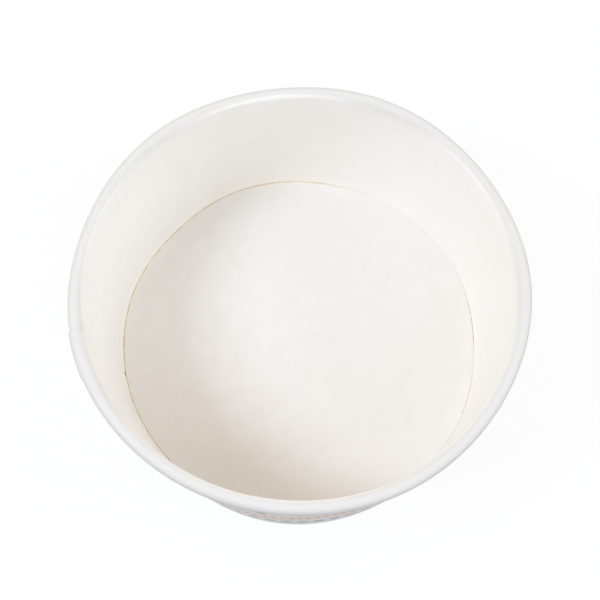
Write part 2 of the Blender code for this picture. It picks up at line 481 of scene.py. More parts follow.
sizes = add_node(wrap, "NodeGroupInput").outputs
blank_end = add_node(
    wrap, "ShaderNodeMath", {"operation": "ADD"}, {0: sizes["Lap Angle"], 1: 2 * math.pi}
)
end_point = add_node(wrap, "ShaderNodeCombineXYZ", {}, {"Y": blank_end.outputs[0]})
line = add_node(
    wrap, "GeometryNodeCurvePrimitiveLine", {}, {"Start": (0, 0, 0), "End": end_point.outputs[0]}
)
stations = add_node(
    wrap, "GeometryNodeResampleCurve", {}, {"Curve": line.outputs[0], "Count": sizes["Stations"]}
)
outline = add_node(wrap, "GeometryNodeMeshToCurve", {}, {"Mesh": sizes["Section"]})
blank = add_node(
    wrap,
    "GeometryNodeCurveToMesh",
    {},
    {"Curve": stations.outputs[0], "Profile Curve": outline.outputs[0], "Fill Caps": sizes["Raw Ends"]},
)
print("inputs of the tree wrap_board, besides the section:", len(wrap_sizes))

# %% [markdown]
# A knurled wheel presses the hem, the skirt and the wall together, and leaves a
# row of fine upright ribs on the hem, inside the base. The ribs are instances on
# a second line of points, joined to the blank before it is bent, so they lie over
# the lap as the board does.

# %% One rib of the knurled hem
RIB_PITCH = 1.6 * MM
RIB_WIDTH = 0.8 * MM
RIB_PROUD = 0.07 * MM
RIB_SUNK = 0.03 * MM
RIB_FOOT_SHARE = 0.12  # of the hem's height, left plain at its foot
RIB_TOP_SHARE = 0.94
RIB_END_SLOPE = 3  # length of a sloping end over its height
RIB_CROWN_SHARE = 0.35  # of the rib's width


def hem_rib():
    """A low ridge on the hem's print face, with a narrow crown and sloping ends."""
    hem_along = (hem_edge - hem_foot).normalized()
    inwards = Vector((-hem_along.y, hem_along.x))
    face_foot = hem_foot + half_wall * inwards
    half_angle = RIB_WIDTH / 2 / hem_foot.x
    span = (hem_edge - hem_foot).length
    foot = (-RIB_SUNK, 0, 1)
    crown = (RIB_PROUD, RIB_PROUD * RIB_END_SLOPE, RIB_CROWN_SHARE)
    corners = []
    for depth, end_inset, width in (foot, crown):
        for along in (RIB_FOOT_SHARE * span + end_inset, RIB_TOP_SHARE * span - end_inset):
            p = face_foot + along * hem_along + depth * inwards
            corners += [(p.x, -half_angle * width, p.y), (p.x, half_angle * width, p.y)]
    faces = [(0, 2, 3, 1), (4, 5, 7, 6), (0, 1, 5, 4), (2, 6, 7, 3), (0, 4, 6, 2), (1, 3, 7, 5)]
    mesh = bpy.data.meshes.new("hem_rib")
    mesh.from_pydata(corners, [], faces)
    add_point_values(mesh, "print_side", [(inwards.x, 0, inwards.y)] * len(corners))
    add_point_values(mesh, "outer_share", [1] * len(corners))
    add_point_values(mesh, "print_face", [1] * len(corners))
    rib = bpy.data.objects.new("hem_rib", mesh)
    bpy.context.scene.collection.objects.link(rib)
    return rib


rib = hem_rib()
rib_count = round(2 * math.pi * hem_foot.x / RIB_PITCH)
print("ribs round the hem:", rib_count)

# %% The ribs along the blank
first_rib = add_node(wrap, "ShaderNodeCombineXYZ", {}, {"Y": RIB_PITCH / hem_foot.x})
last_rib = add_node(
    wrap,
    "ShaderNodeVectorMath",
    {"operation": "SUBTRACT"},
    {0: end_point.outputs[0], 1: first_rib.outputs[0]},
)
rib_points = add_node(
    wrap,
    "GeometryNodeMeshLine",
    {"mode": "END_POINTS"},
    {"Count": sizes["Ribs"], "Start Location": first_rib.outputs[0], "Offset": last_rib.outputs[0]},
)
rib_shape = add_node(wrap, "GeometryNodeObjectInfo", {}, {"Object": sizes["Rib"]})
rib_row = add_node(
    wrap,
    "GeometryNodeInstanceOnPoints",
    {},
    {"Points": rib_points.outputs[0], "Instance": rib_shape.outputs["Geometry"]},
)
real_ribs = add_node(wrap, "GeometryNodeRealizeInstances", {}, {"Geometry": rib_row.outputs[0]})
flat_piece = add_node(wrap, "GeometryNodeJoinGeometry")
wrap.links.new(real_ribs.outputs[0], flat_piece.inputs[0])
wrap.links.new(blank.outputs[0], flat_piece.inputs[0])
print("one rib every", round(math.degrees(RIB_PITCH / hem_foot.x), 2), "degrees of the blank")

# %% [markdown]
# Only now do the layers part and the blank bend. Near the blank's start the inner
# layer gives way, and near its end the outer one. Each eases back to its place in
# a short ramp, as pressed board does. The blank angle is kept as an attribute for
# the print, which was on the board before the cup was made.

# %% The lap, where two layers give way to each other
LAP_CONTACT = 1.03  # boards lie a hair more than one thickness apart

place = add_node(wrap, "GeometryNodeInputPosition")
parts = add_node(wrap, "ShaderNodeSeparateXYZ", {}, {0: place.outputs[0]})
share = add_node(
    wrap, "GeometryNodeInputNamedAttribute", {"data_type": "FLOAT"}, {"Name": "outer_share"}
)
side = add_node(
    wrap, "GeometryNodeInputNamedAttribute", {"data_type": "FLOAT_VECTOR"}, {"Name": "print_side"}
)

settled = add_node(
    wrap, "ShaderNodeMath", {"operation": "ADD"}, {0: sizes["Lap Angle"], 1: sizes["Ramp Angle"]}
)
inner_step = add_node(
    wrap,
    "ShaderNodeMapRange",
    {"interpolation_type": "SMOOTHSTEP"},
    {
        "Value": parts.outputs["Y"],
        "From Min": sizes["Lap Angle"],
        "From Max": settled.outputs[0],
        "To Min": 1.0,
        "To Max": 0.0,
    },
)
climb = add_node(
    wrap, "ShaderNodeMath", {"operation": "SUBTRACT"}, {0: 2 * math.pi, 1: sizes["Ramp Angle"]}
)
outer_step = add_node(
    wrap,
    "ShaderNodeMapRange",
    {"interpolation_type": "SMOOTHSTEP"},
    {"Value": parts.outputs["Y"], "From Min": climb.outputs[0], "From Max": 2 * math.pi},
)
outer_part = add_node(
    wrap, "ShaderNodeMath", {"operation": "MULTIPLY"}, {0: outer_step.outputs[0], 1: share.outputs[0]}
)
other_share = add_node(wrap, "ShaderNodeMath", {"operation": "SUBTRACT"}, {0: 1.0, 1: share.outputs[0]})
inner_part = add_node(
    wrap,
    "ShaderNodeMath",
    {"operation": "MULTIPLY"},
    {0: inner_step.outputs[0], 1: other_share.outputs[0]},
)
step = add_node(
    wrap,
    "ShaderNodeMath",
    {"operation": "SUBTRACT"},
    {0: outer_part.outputs[0], 1: inner_part.outputs[0]},
)
contact = add_node(
    wrap, "ShaderNodeMath", {"operation": "MULTIPLY"}, {0: sizes["Board"], 1: LAP_CONTACT}
)
shift = add_node(
    wrap, "ShaderNodeMath", {"operation": "MULTIPLY"}, {0: step.outputs[0], 1: contact.outputs[0]}
)
aside = add_node(
    wrap,
    "ShaderNodeVectorMath",
    {"operation": "MULTIPLY_ADD"},
    {0: side.outputs[0], 1: shift.outputs[0], 2: place.outputs[0]},
)
print("the boards' middles lie", round(WALL_BOARD * LAP_CONTACT / MM, 3), "mm apart in the lap")

# %% The bend round the axis
flat = add_node(wrap, "ShaderNodeSeparateXYZ", {}, {0: aside.outputs[0]})
angle = add_node(
    wrap, "ShaderNodeMath", {"operation": "ADD"}, {0: flat.outputs["Y"], 1: sizes["Seam Angle"]}
)
uneven = add_node(
    wrap, "GeometryNodeGroup", {"node_tree": out_of_round}, {0: angle.outputs[0], 1: flat.outputs["Z"]}
)

# The waves fade towards the axis, so that they leave the disc's centre where it is
toward_edge = add_node(
    wrap,
    "ShaderNodeMapRange",
    {},
    {"Value": flat.outputs["X"], "From Min": 0.0, "From Max": FLOOR_RADIUS},
)
radius = add_node(
    wrap,
    "ShaderNodeMath",
    {"operation": "MULTIPLY_ADD"},
    {0: uneven.outputs[0], 1: toward_edge.outputs[0], 2: flat.outputs["X"]},
)
bent = add_node(wrap, "ShaderNodeCombineXYZ", {}, {"Z": flat.outputs["Z"]})
for axis, operation in (("X", "COSINE"), ("Y", "SINE")):
    turned = add_node(wrap, "ShaderNodeMath", {"operation": operation}, {0: angle.outputs[0]})
    feeds = {0: radius.outputs[0], 1: turned.outputs[0]}
    reached = add_node(wrap, "ShaderNodeMath", {"operation": "MULTIPLY"}, feeds)
    wrap.links.new(reached.outputs[0], bent.inputs[axis])
kept_angle = add_node(
    wrap,
    "GeometryNodeStoreNamedAttribute",
    {"data_type": "FLOAT", "domain": "POINT"},
    {"Geometry": flat_piece.outputs[0], "Name": "blank_angle", "Value": parts.outputs["Y"]},
)
wrapped = add_node(
    wrap,
    "GeometryNodeSetPosition",
    {},
    {"Geometry": kept_angle.outputs[0], "Position": bent.outputs[0]},
)
print("nodes so far:", len(wrap.nodes))

# %% Close the disc, and give each face of the board its finish
WELD_DISTANCE = 0.001 * MM
CUT_EDGE_FROM = 0.25  # print_face is 0 on the food side and 1 on the print side
PRINT_SIDE_FROM = 0.75

closed = add_node(
    wrap, "GeometryNodeMergeByDistance", {}, {"Geometry": wrapped.outputs[0], "Distance": WELD_DISTANCE}
)
which_face = add_node(
    wrap, "GeometryNodeInputNamedAttribute", {"data_type": "FLOAT"}, {"Name": "print_face"}
)
realised = add_node(wrap, "GeometryNodeRealizeInstances", {}, {"Geometry": closed.outputs[0]})
finish = add_node(
    wrap,
    "GeometryNodeSetMaterial",
    {},
    {"Geometry": realised.outputs[0], "Material": sizes["Food Side"]},
)
for label, least in (("Cut Edge", CUT_EDGE_FROM), ("Print Side", PRINT_SIDE_FROM)):
    chosen = add_node(
        wrap,
        "FunctionNodeCompare",
        {"data_type": "FLOAT", "operation": "GREATER_THAN"},
        {0: which_face.outputs[0], 1: least},
    )
    finish = add_node(
        wrap,
        "GeometryNodeSetMaterial",
        {},
        {"Geometry": finish.outputs[0], "Selection": chosen.outputs[0], "Material": sizes[label]},
    )
add_node(wrap, "NodeGroupOutput", {}, {"Board Piece": finish.outputs[0]})
print("nodes in the tree wrap_board:", len(wrap.nodes))

# %% [markdown]
# ## Finishes
#
# A cup's board is bleached wood pulp, bare or under a thin coat. Looked at closely
# it is cloudy, where its fibres lie thicker or thinner, and finely rough. Noise on
# the object's own coordinates gives both without a picture, at any distance. These
# are the helpers that all the finishes share.

# %% What all finishes of board share
MOTTLE_SIZE = 3.0 * MM
MOTTLE_DETAIL = 3.0
NOISE_LOW = 0.3  # nearly all of the noise lies between these two
NOISE_HIGH = 0.7
FIBRE_SIZE = 0.35 * MM  # bundles of fibres, drawn as coarse as they need to show
FIBRE_DETAIL = 2.0
FIBRE_DEPTH = 0.01 * MM


def new_material(name):
    """A material with an empty node tree but for its shader, and object coordinates."""
    material = bpy.data.materials.new(name)
    material.use_nodes = True
    tree = material.node_tree
    coordinates = add_node(tree, "ShaderNodeTexCoord")
    return material, tree, tree.nodes["Principled BSDF"], coordinates.outputs["Object"]


def add_mottle(tree, place, light, dark, size):
    """Cloudiness of two close colours."""
    feeds = {"Vector": place, "Scale": 1 / size, "Detail": MOTTLE_DETAIL}
    noise = add_node(tree, "ShaderNodeTexNoise", {}, feeds)
    spread = add_node(
        tree,
        "ShaderNodeMapRange",
        {},
        {"Value": noise.outputs[0], "From Min": NOISE_LOW, "From Max": NOISE_HIGH},
    )
    mix = add_node(
        tree,
        "ShaderNodeMix",
        {"data_type": "RGBA"},
        {0: spread.outputs[0], 6: colour(light), 7: colour(dark)},
    )
    return mix.outputs[2]


def add_fibres(tree, surface, place, size, detail, relief, depth):
    """Bump of fibres on the whole surface."""
    fibres = add_node(
        tree, "ShaderNodeTexNoise", {}, {"Vector": place, "Scale": 1 / size, "Detail": detail}
    )
    feeds = {"Height": fibres.outputs[0], "Strength": relief, "Distance": depth}
    bump = add_node(tree, "ShaderNodeBump", {}, feeds)
    tree.links.new(bump.outputs[0], surface.inputs["Normal"])


def add_from_axis(tree, place):
    """Distance from the cup's axis."""
    level = add_node(tree, "ShaderNodeVectorMath", {"operation": "MULTIPLY"}, {0: place, 1: (1, 1, 0)})
    length = add_node(tree, "ShaderNodeVectorMath", {"operation": "LENGTH"}, {0: level.outputs[0]})
    return length.outputs["Value"]


print("fibre pattern repeats about every", round(FIBRE_SIZE / MM, 2), "mm")

# %% [markdown]
# Inside, the board carries a film of polyethylene that was laid on hot and cooled on
# a matt roller: creamy white, smooth to the touch, with a broad soft sheen. Over the
# rolled rim the film is duller, and greyer as painted shade, so that the rim, open to
# more of the light than the inside, renders no brighter than it.

# %% Polyethylene-coated cupstock, the side that meets the food
POLYETHYLENE_IOR = 1.51
FILM_ROUGHNESS = 0.48
FILM_RELIEF = 0.06
# painted shade: the rolled rim's film is greyed, so that the rim, open to more light than the inside,
# renders no brighter than it
ROLL_PAINTED_GREY = "E3E0DA"
ROLL_ROUGHNESS = 0.65
ROLL_STARTS = RIM_RADIUS - 2 * ROLL_RADIUS
DULL_AND_SHADED_WIDTH = 0.54 * MM


def coated_cupstock(name, light, dark, painted_light_share):
    """Board with a matt polyethylene film, grey painted shade over the roll, and at the seal an ochre
    line, partly painted crease shadow, with painted light beside it.
    """
    material, tree, surface, place = new_material(name)
    surface.inputs["IOR"].default_value = POLYETHYLENE_IOR
    cloud = add_mottle(tree, place, light, dark, MOTTLE_SIZE)
    on_the_roll = add_node(
        tree,
        "ShaderNodeMapRange",
        {"interpolation_type": "SMOOTHSTEP"},
        {
            "Value": add_from_axis(tree, place),
            "From Min": ROLL_STARTS,
            "From Max": ROLL_STARTS + DULL_AND_SHADED_WIDTH,
        },
    )
    # painted shade: over the roll the film's colour turns grey
    roll_painted_shade = add_node(
        tree,
        "ShaderNodeMix",
        {"data_type": "RGBA"},
        {0: on_the_roll.outputs["Result"], 6: cloud, 7: colour(ROLL_PAINTED_GREY)},
    )
    dulled = add_node(
        tree,
        "ShaderNodeMapRange",
        {},
        {"Value": on_the_roll.outputs["Result"], "To Min": FILM_ROUGHNESS, "To Max": ROLL_ROUGHNESS},
    )
    tree.links.new(dulled.outputs["Result"], surface.inputs["Roughness"])
    tinted = add_seal_tint_and_painted_light(tree, place, roll_painted_shade.outputs[2], painted_light_share)
    tree.links.new(tinted, surface.inputs["Base Color"])
    add_fibres(tree, surface, place, FIBRE_SIZE, FIBRE_DETAIL, FILM_RELIEF, FIBRE_DEPTH)
    return material


print("the duller film starts", round(ROLL_STARTS / MM, 1), "mm from the axis")

# %% [markdown]
# The machine seals wall and disc with hot air. The film browns in the crease between
# them, and a fine ochre line runs round the floor. Its colour is partly painted shadow
# of the crease, which the filled shoulder does not cast. Beside it the colour is
# lightened with painted light, most on the wall, against the shade at the wall's foot.
# Both are strong from the back of this cup round its left, fade out along the front,
# and come back in short stretches at the right.

# %% The ochre line at the sealed joint
# the ochre line's colours: browned film, and partly painted shadow of the crease
SEAL_OCHRE_AND_SHADE = "DCC46C"
SEAL_TAN_AND_SHADE = "E2A858"  # towards the right
SEAL_WIDTH_MM = 0.34
NARROWEST_SHARE = 0.5  # of that width
WOBBLE_SIZE = 1.5 * MM
FOOT_PAINTED_LIGHT = "FFFAF0"  # painted light beside the joint, against the shade at the wall's foot
PAINTED_LIGHT_WIDTH_MM = 3.5

# Strength of the tint at angles in degrees, from the cup's right over its back
SEAL_AT_RIGHT = [(0, 1.0), (12, 0.5), (28, 0.0)]
SEAL_AT_BACK_AND_LEFT = [(70, 0.1), (85, 0.7), (190, 1.0), (225, 0.9)]
SEAL_LAST_STRETCH = [(325, 0.1), (340, 1.0), (350, 0.2), (353, 0.2), (359, 1.0)]


def add_seal_strength(tree, axes):
    """Strength of the tint by the angle round the cup."""
    feeds = {0: axes.outputs["Y"], 1: axes.outputs["X"]}
    angle = add_node(tree, "ShaderNodeMath", {"operation": "ARCTAN2"}, feeds)
    turns = add_node(
        tree, "ShaderNodeMath", {"operation": "DIVIDE"}, {0: angle.outputs[0], 1: 2 * math.pi}
    )
    turn = add_node(tree, "ShaderNodeMath", {"operation": "FRACT"}, {0: turns.outputs[0]})
    ramp = add_node(tree, "ShaderNodeValToRGB", {}, {"Fac": turn.outputs[0]})
    stops = ramp.color_ramp.elements
    for k, (degrees, strength) in enumerate(SEAL_AT_RIGHT + SEAL_AT_BACK_AND_LEFT + SEAL_LAST_STRETCH):
        stop = stops[k] if k < 2 else stops.new(degrees / 360)  # a new ramp has two stops
        stop.position = degrees / 360
        stop.color = (strength, strength, strength, 1)
    return ramp.outputs[0]


def add_seal_and_shade_line(tree, place, distance):
    """A line along the joint whose width wanders: browned film and painted crease shadow."""
    feeds = {"Vector": place, "Scale": 1 / WOBBLE_SIZE, "Detail": FIBRE_DETAIL}
    wobble = add_node(tree, "ShaderNodeTexNoise", {}, feeds)
    width = add_node(
        tree,
        "ShaderNodeMapRange",
        {},
        {
            "Value": wobble.outputs[0],
            "From Min": NOISE_LOW,
            "From Max": NOISE_HIGH,
            "To Min": NARROWEST_SHARE * SEAL_WIDTH_MM,
            "To Max": SEAL_WIDTH_MM,
        },
    )
    line = add_node(
        tree,
        "ShaderNodeMapRange",
        {"interpolation_type": "SMOOTHSTEP"},
        {
            "Value": distance.outputs["Fac"],
            "From Min": 0.0,
            "From Max": width.outputs[0],
            "To Min": 1.0,
            "To Max": 0.0,
        },
    )
    return line.outputs[0]


def add_seal_tint_and_painted_light(tree, place, base, painted_light_share):
    """Tint a colour near the joint, by distance from it and by angle round the cup: an ochre line that
    is partly painted crease shadow, and painted light beside it.
    """
    distance = add_node(tree, "ShaderNodeAttribute", {"attribute_name": "from_joint_mm"})
    axes = add_node(tree, "ShaderNodeSeparateXYZ", {}, {0: place})
    strength = add_seal_strength(tree, axes)
    line = add_seal_and_shade_line(tree, place, distance)
    amount = add_node(tree, "ShaderNodeMath", {"operation": "MULTIPLY"}, {0: line, 1: strength})
    painted_light_fade = add_node(
        # painted light: lightens the colour near the joint, fading over a few millimetres
        tree,
        "ShaderNodeMapRange",
        {"interpolation_type": "SMOOTHSTEP"},
        {
            "Value": distance.outputs["Fac"],
            "From Min": 0.0,
            "From Max": PAINTED_LIGHT_WIDTH_MM,
            "To Min": painted_light_share,
            "To Max": 0.0,
        },
    )
    feeds = {0: painted_light_fade.outputs[0], 1: strength}
    painted_light_there = add_node(tree, "ShaderNodeMath", {"operation": "MULTIPLY"}, feeds)
    # painted light mixed over the colour beside the joint
    lightened_by_paint = add_node(
        tree,
        "ShaderNodeMix",
        {"data_type": "RGBA"},
        {0: painted_light_there.outputs[0], 6: base, 7: colour(FOOT_PAINTED_LIGHT)},
    )
    to_the_right = add_node(
        tree,
        "ShaderNodeMapRange",
        {},
        {"Value": axes.outputs["X"], "From Min": 0.0, "From Max": FLOOR_RADIUS},
    )
    tint = add_node(
        tree,
        "ShaderNodeMix",
        {"data_type": "RGBA"},
        {0: to_the_right.outputs[0], 6: colour(SEAL_OCHRE_AND_SHADE), 7: colour(SEAL_TAN_AND_SHADE)},
    )
    # browned film and painted crease shadow, multiplied over the colour
    mix = add_node(
        tree,
        "ShaderNodeMix",
        {"data_type": "RGBA", "blend_type": "MULTIPLY"},
        {0: amount.outputs[0], 6: lightened_by_paint.outputs[2], 7: tint.outputs[2]},
    )
    return mix.outputs[2]


WALL_CREAM = ("F8F5EE", "F6F3EC")  # where the fibres lie thin, and where they lie thick
# painted shade: the floor's cream is darker than the wall's, so that the floor, which gets more light,
# renders no brighter than the wall
FLOOR_SHADED_CREAM = ("ECE8E2", "EAE5DE")
# painted light beside the joint: full on the wall, a little on the floor
PAINTED_LIGHT_ON_WALL = 1.0
PAINTED_LIGHT_ON_FLOOR = 0.2

wall_food = coated_cupstock("coated_cupstock_wall", *WALL_CREAM, PAINTED_LIGHT_ON_WALL)
disc_food = coated_cupstock("coated_cupstock_floor", *FLOOR_SHADED_CREAM, PAINTED_LIGHT_ON_FLOOR)
print("materials so far:", [m.name for m in bpy.data.materials])

# %% [markdown]
# Outside, the board has a fine coat of clay and was printed flat, before the blank
# was cut. This cup wears a plain pattern of dots and dashes in coral, olive and
# navy. Each row of marks is worked out in a node group from two lengths on the
# board, along the blank and up the wall, so the marks follow the wall's curve and
# stop at the blank's cut edge.

# %% Node group: one row of printed marks
marks = bpy.data.node_groups.new("row_of_marks", "ShaderNodeTree")
for label in ("Along", "Up", "Count", "Height", "Pitch", "Phase", "Length", "Width", "Lean"):
    marks.interface.new_socket(label, in_out="INPUT", socket_type="NodeSocketFloat")
marks.interface.new_socket("Ink", in_out="OUTPUT", socket_type="NodeSocketFloat")
INK_EDGE_MM = 0.06

row = add_node(marks, "NodeGroupInput").outputs
above = add_node(marks, "ShaderNodeMath", {"operation": "SUBTRACT"}, {0: row["Up"], 1: row["Height"]})
counted = add_node(
    marks,
    "ShaderNodeMath",
    {"operation": "MULTIPLY_ADD"},
    {0: row["Along"], 1: row["Count"], 2: row["Phase"]},
)
within = add_node(marks, "ShaderNodeMath", {"operation": "FRACT"}, {0: counted.outputs[0]})
centred = add_node(marks, "ShaderNodeMath", {"operation": "SUBTRACT"}, {0: within.outputs[0], 1: 0.5})
beside = add_node(
    marks, "ShaderNodeMath", {"operation": "MULTIPLY"}, {0: centred.outputs[0], 1: row["Pitch"]}
)
leaned = add_node(
    marks,
    "ShaderNodeMath",
    {"operation": "MULTIPLY_ADD"},
    {0: above.outputs[0], 1: row["Lean"], 2: beside.outputs[0]},
)
half_run = add_node(marks, "ShaderNodeMath", {"operation": "MULTIPLY"}, {0: row["Length"], 1: 0.5})
across = add_node(marks, "ShaderNodeMath", {"operation": "ABSOLUTE"}, {0: leaned.outputs[0]})
past_run = add_node(
    marks, "ShaderNodeMath", {"operation": "SUBTRACT"}, {0: across.outputs[0], 1: half_run.outputs[0]}
)
past = add_node(marks, "ShaderNodeMath", {"operation": "MAXIMUM"}, {0: past_run.outputs[0], 1: 0.0})
corner = add_node(marks, "ShaderNodeCombineXYZ", {}, {"X": past.outputs[0], "Y": above.outputs[0]})
away = add_node(marks, "ShaderNodeVectorMath", {"operation": "LENGTH"}, {0: corner.outputs[0]})
half_mark = add_node(marks, "ShaderNodeMath", {"operation": "MULTIPLY"}, {0: row["Width"], 1: 0.5})
beyond = add_node(
    marks,
    "ShaderNodeMath",
    {"operation": "SUBTRACT"},
    {0: away.outputs["Value"], 1: half_mark.outputs[0]},
)
ink = add_node(
    marks,
    "ShaderNodeMapRange",
    {},
    {
        "Value": beyond.outputs[0],
        "From Min": -INK_EDGE_MM,
        "From Max": INK_EDGE_MM,
        "To Min": 1.0,
        "To Max": 0.0,
    },
)
add_node(marks, "NodeGroupOutput", {}, {"Ink": ink.outputs[0]})
print("nodes in the group row_of_marks:", len(marks.nodes))

# %% Clay-coated board with its print
CLAY_WHITES = ("EFECE8", "ECE9E4")
PEACH = "F6DCC8"
CORAL = "E08A78"
OLIVE = "969468"
NAVY = "68739A"
CLAY_COAT_IOR = 1.5
CLAY_COAT_ROUGHNESS = 0.42
CLAY_COAT_RELIEF = 0.2
INK_PATCH_SIZE = 0.5 * MM
INK_PATCH_HIGH = 0.6  # of the noise; above it the ink covers fully
THINNEST_INK = 0.78  # share of the clay coat that it covers
PEACH_COVER = 0.75
PEACH_EDGE_MM = 0.1

# Each row: ink, height and pitch in mm, phase, length and width of a mark in mm, lean
PRINTED_ROWS = [
    (NAVY, 3.2, 3.5, 0.0, 1.7, 0.75, 0.5),
    (CORAL, 6.9, 1.9, 0.0, 0.0, 0.95, 0.0),
    (OLIVE, 12.5, 13.5, 0.0, 0.0, 2.4, 0.0),
    (CORAL, 17.5, 13.5, 0.5, 0.0, 2.4, 0.0),
    (NAVY, 22.5, 13.5, 0.0, 0.0, 2.4, 0.0),
    (OLIVE, 27.5, 13.5, 0.5, 0.0, 2.4, 0.0),
    (CORAL, 33.0, 1.9, 0.5, 0.0, 0.95, 0.0),
    (NAVY, 36.6, 3.5, 0.5, 1.7, 0.75, -0.5),
]
PEACH_BANDS = [(5.7, 8.3), (31.7, 34.3)]


def add_ink_cover(tree, place):
    """How well ink covers, because it sits a little unevenly on the clay coat."""
    feeds = {"Vector": place, "Scale": 1 / INK_PATCH_SIZE, "Detail": MOTTLE_DETAIL}
    patchy = add_node(tree, "ShaderNodeTexNoise", {}, feeds)
    cover = add_node(
        tree,
        "ShaderNodeMapRange",
        {},
        {
            "Value": patchy.outputs[0],
            "From Min": NOISE_LOW,
            "From Max": INK_PATCH_HIGH,
            "To Min": THINNEST_INK,
            "To Max": 1.0,
        },
    )
    return cover.outputs[0]


def add_peach_bands(tree, up, paint):
    """Lay the peach bands over a colour, by the height in mm."""
    for low, high in PEACH_BANDS:
        middle, half = (low + high) / 2, (high - low) / 2
        off = add_node(tree, "ShaderNodeMath", {"operation": "SUBTRACT"}, {0: up, 1: middle})
        away = add_node(tree, "ShaderNodeMath", {"operation": "ABSOLUTE"}, {0: off.outputs[0]})
        band = add_node(
            tree,
            "ShaderNodeMapRange",
            {},
            {
                "Value": away.outputs[0],
                "From Min": half - PEACH_EDGE_MM,
                "From Max": half + PEACH_EDGE_MM,
                "To Min": PEACH_COVER,
                "To Max": 0.0,
            },
        )
        feeds = {0: band.outputs[0], 6: paint, 7: colour(PEACH)}
        paint = add_node(tree, "ShaderNodeMix", {"data_type": "RGBA"}, feeds).outputs[2]
    return paint


def add_rows_of_marks(tree, along, up, cover, paint):
    """Lay the rows of marks over a colour."""
    for hex_ink, height, pitch, phase, length, width, lean in PRINTED_ROWS:
        girth = 2 * math.pi * (BASE_RADIUS / MM + height * math.tan(wall_lean))
        count = round(girth / pitch)
        marks_row = add_node(
            tree,
            "ShaderNodeGroup",
            {"node_tree": marks},
            {
                "Along": along,
                "Up": up,
                "Count": float(count),
                "Height": height,
                "Pitch": girth / count,
                "Phase": phase,
                "Length": length,
                "Width": width,
                "Lean": lean,
            },
        )
        feeds = {0: marks_row.outputs[0], 1: cover}
        inked = add_node(tree, "ShaderNodeMath", {"operation": "MULTIPLY"}, feeds)
        feeds = {0: inked.outputs[0], 6: paint, 7: colour(hex_ink)}
        paint = add_node(tree, "ShaderNodeMix", {"data_type": "RGBA"}, feeds).outputs[2]
    return paint


def printed_board():
    """Rows of marks over peach bands on the clay coat, and a plain hem."""
    material, tree, surface, place = new_material("printed_clay_coated_board")
    surface.inputs["Roughness"].default_value = CLAY_COAT_ROUGHNESS
    surface.inputs["IOR"].default_value = CLAY_COAT_IOR
    blank_angle = add_node(tree, "ShaderNodeAttribute", {"attribute_name": "blank_angle"})
    feeds = {0: blank_angle.outputs["Fac"], 1: 2 * math.pi}
    along = add_node(tree, "ShaderNodeMath", {"operation": "DIVIDE"}, feeds).outputs[0]
    axes = add_node(tree, "ShaderNodeSeparateXYZ", {}, {0: place})
    up = add_node(
        tree, "ShaderNodeMath", {"operation": "DIVIDE"}, {0: axes.outputs["Z"], 1: MM}
    ).outputs[0]
    clay = add_mottle(tree, place, *CLAY_WHITES, MOTTLE_SIZE)
    banded = add_peach_bands(tree, up, clay)
    marked = add_rows_of_marks(tree, along, up, add_ink_cover(tree, place), banded)
    feeds = {0: add_from_axis(tree, place), 1: BASE_RADIUS - FOLD_RADIUS}
    outside = add_node(tree, "ShaderNodeMath", {"operation": "GREATER_THAN"}, feeds)
    feeds = {0: outside.outputs[0], 6: clay, 7: marked}
    hem_plain = add_node(tree, "ShaderNodeMix", {"data_type": "RGBA"}, feeds)
    tree.links.new(hem_plain.outputs[2], surface.inputs["Base Color"])
    add_fibres(tree, surface, place, FIBRE_SIZE, FIBRE_DETAIL, CLAY_COAT_RELIEF, FIBRE_DEPTH)
    return material


wall_print = printed_board()
print("rows of printed marks:", len(PRINTED_ROWS))

# %% [markdown]
# The cut edges and the underside of the disc are bare board: uncoated pulp, dull
# and a little darker than the coated faces, with fibres that can be felt.

# %% Bare board
PULP_ROUGHNESS = 0.85
PULP_SHEEN = 0.3
PULP_DETAIL = 4.0
PULP_RELIEF = 0.4
PULP_DEPTH = 0.03 * MM
EDGE_PULP = ("EBE3D3", "E0D6C2")
UNDERSIDE_PULP = ("F0EBE2", "E9E3D8")
EDGE_GRAIN = 0.3 * MM
UNDERSIDE_GRAIN = 0.6 * MM


def bare_board(name, light, dark, grain):
    """Uncoated bleached pulp."""
    material, tree, surface, place = new_material(name)
    surface.inputs["Roughness"].default_value = PULP_ROUGHNESS
    surface.inputs["Specular IOR Level"].default_value = PULP_SHEEN
    tree.links.new(add_mottle(tree, place, light, dark, grain), surface.inputs["Base Color"])
    add_fibres(tree, surface, place, grain, PULP_DETAIL, PULP_RELIEF, PULP_DEPTH)
    return material


cut_edge = bare_board("cut_board_edge", *EDGE_PULP, EDGE_GRAIN)
disc_under = bare_board("uncoated_disc_underside", *UNDERSIDE_PULP, UNDERSIDE_GRAIN)

# %% [markdown]
# ## Making the two pieces
#
# The tree runs on each section in turn. Its inputs are set by their identifiers
# before the object is first evaluated, the result is turned into a plain mesh,
# and the modifier goes. The surfaces are then shaded smooth, except at the cut
# edges of the board.

# %% Wrap a section and keep the result as a plain mesh
SMOOTH_UP_TO = math.radians(35)


def drop_empty_slots(mesh):
    """Take out the slots without a material that the tree leaves, and keep each face's finish."""
    slots = list(mesh.materials)
    finishes = [m for m in slots if m]
    chosen = [slots[face.material_index] for face in mesh.polygons]
    mesh.materials.clear()
    for finish_material in finishes:
        mesh.materials.append(finish_material)
    mesh.polygons.foreach_set("material_index", [finishes.index(m) for m in chosen])


